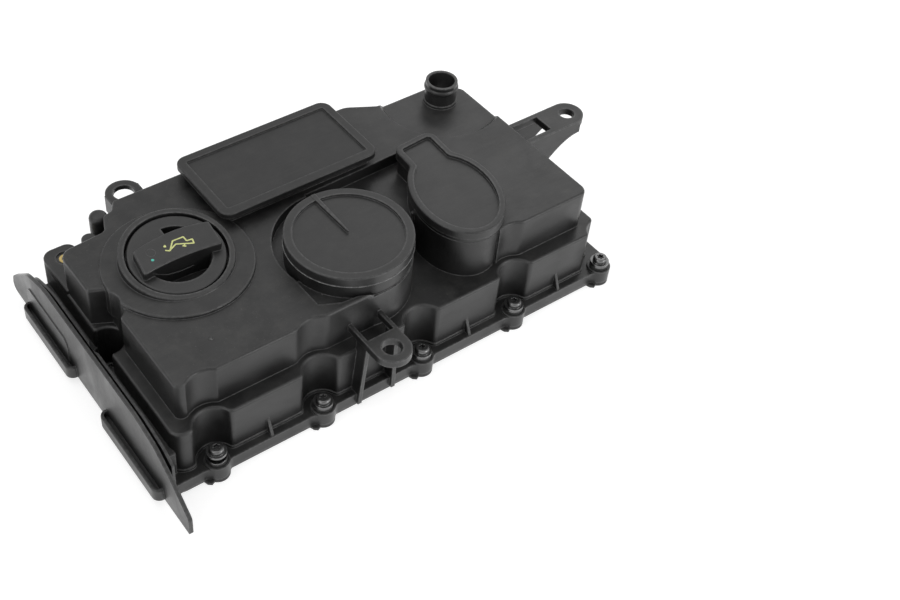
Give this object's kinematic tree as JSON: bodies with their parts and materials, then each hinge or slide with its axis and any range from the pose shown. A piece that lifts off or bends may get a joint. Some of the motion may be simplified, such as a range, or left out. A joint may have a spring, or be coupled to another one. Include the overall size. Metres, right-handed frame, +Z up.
{
  "type": "engine valve cover",
  "caption": "Moulded cover for a cylinder head: two-storey box with a screwed flange and gasket, oil filler cap, crankcase breather chambers under welded lids, and a hose nipple.",
  "frame": {"origin": "middle of the grid of flange screws, on the underside of the moulded flange; the gasket's bead stands 2 mm below it", "axes": "+Z up, away from the cylinder head; +X along the cover, away from the timing end with its upright plate; +Y to the back, the side with the hose nipple"},
  "size_m": [0.457, 0.2733, 0.1034],
  "materials": {
    "plastic": "satin moulded glass-filled nylon, near black",
    "lid_plastic": "satin moulded nylon, welded lids",
    "cap_plastic": "smooth moulded nylon with a yellow-green oil-can sign",
    "gasket_rubber": "matt black elastomer",
    "seal_rubber": "matt black elastomer",
    "screw_steel": "blackened zinc-plated steel",
    "spring_steel": "bright spring steel",
    "brass": "knurled brass"
  },
  "bodies": {
    "cover": {"cover_body": "plastic", "gasket": "gasket_rubber", "flange_screws": "screw_steel", "screw_sleeves": "screw_steel", "screw_grommets": "seal_rubber", "corner_insert": "brass", "regulator_lid": "lid_plastic", "regulator_diaphragm": "seal_rubber", "regulator_spring": "spring_steel", "separator_lid": "lid_plastic", "cyclone_cone": "lid_plastic", "chamber_lid": "lid_plastic", "baffle_plate": "lid_plastic", "baffle_screws": "screw_steel", "drain_valve": "seal_rubber"},
    "seal_ring": {"cap_seal": "seal_rubber"},
    "cap": {"filler_cap": "cap_plastic", "cap_core": "cap_plastic"},
    "spring_cup": {"regulator_cup": "lid_plastic"}
  },
  "joints": [
    {"name": "cap_lift", "type": "slide", "parent": "cover", "child": "seal_ring", "axis": [0, -0.1392, 0.9903], "range_m": [0, 0.06]},
    {"name": "cap_turn", "type": "hinge", "parent": "seal_ring", "child": "cap", "pos_m": [-0.1356, 0.012, 0.092], "axis": [0, -0.1392, 0.9903], "range_deg": [0, 90]},
    {"name": "regulator_travel", "type": "slide", "parent": "cover", "child": "spring_cup", "axis": [0, 0, -1], "range_m": [0, 0.005], "stiffness_N_per_m": 400, "springref_m": -0.002, "deforming": ["regulator_spring", "regulator_diaphragm"]}
  ]
}
